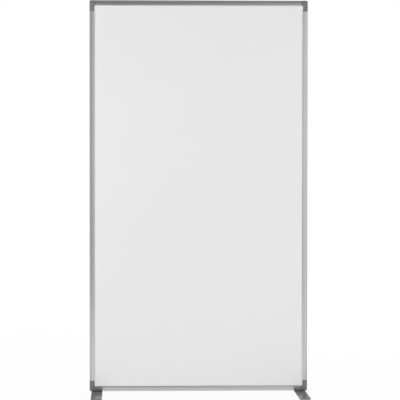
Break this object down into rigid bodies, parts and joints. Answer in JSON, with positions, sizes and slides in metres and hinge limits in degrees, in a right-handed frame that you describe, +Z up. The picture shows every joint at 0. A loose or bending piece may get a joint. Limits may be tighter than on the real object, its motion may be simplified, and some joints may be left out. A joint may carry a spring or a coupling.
{
  "type": "room divider",
  "caption": "Free-standing room divider: a tall double-sided white board in a slim aluminium trim with grey corner caps, on flat steel feet.",
  "frame": {"origin": "on the floor, under the middle of the board", "axes": "+X to the right of someone facing the board, +Y away from them through the board's thickness, +Z up"},
  "size_m": [1, 0.45, 1.8],
  "materials": {
    "board_lacquer": "smooth white lacquer with a soft gloss",
    "core_paper": "raw paper honeycomb",
    "trim_aluminium": "satin anodised, drawn lengthwise",
    "key_steel": "zinc plated",
    "cap_plastic": "fine moulded grain, satin",
    "screw_steel": "zinc plated",
    "foot_paint": "dark grey powder coat, half gloss",
    "pad_rubber": "matt"
  },
  "bodies": {
    "root": {"front_board": "board_lacquer", "rear_board": "board_lacquer", "honeycomb_core": "core_paper", "top_rail": "trim_aluminium", "bottom_rail": "trim_aluminium", "left_stile": "trim_aluminium", "right_stile": "trim_aluminium", "corner_key_top_left": "key_steel", "corner_key_top_right": "key_steel", "corner_key_bottom_left": "key_steel", "corner_key_bottom_right": "key_steel", "corner_cap_top_left": "cap_plastic", "corner_cap_top_right": "cap_plastic", "corner_cap_bottom_left": "cap_plastic", "corner_cap_bottom_right": "cap_plastic", "cap_screws": "screw_steel", "frame_screws": "screw_steel", "left_foot": "foot_paint", "right_foot": "foot_paint", "left_foot_screws": "screw_steel", "right_foot_screws": "screw_steel", "left_foot_pads": "pad_rubber", "right_foot_pads": "pad_rubber"}
  },
  "joints": []
}
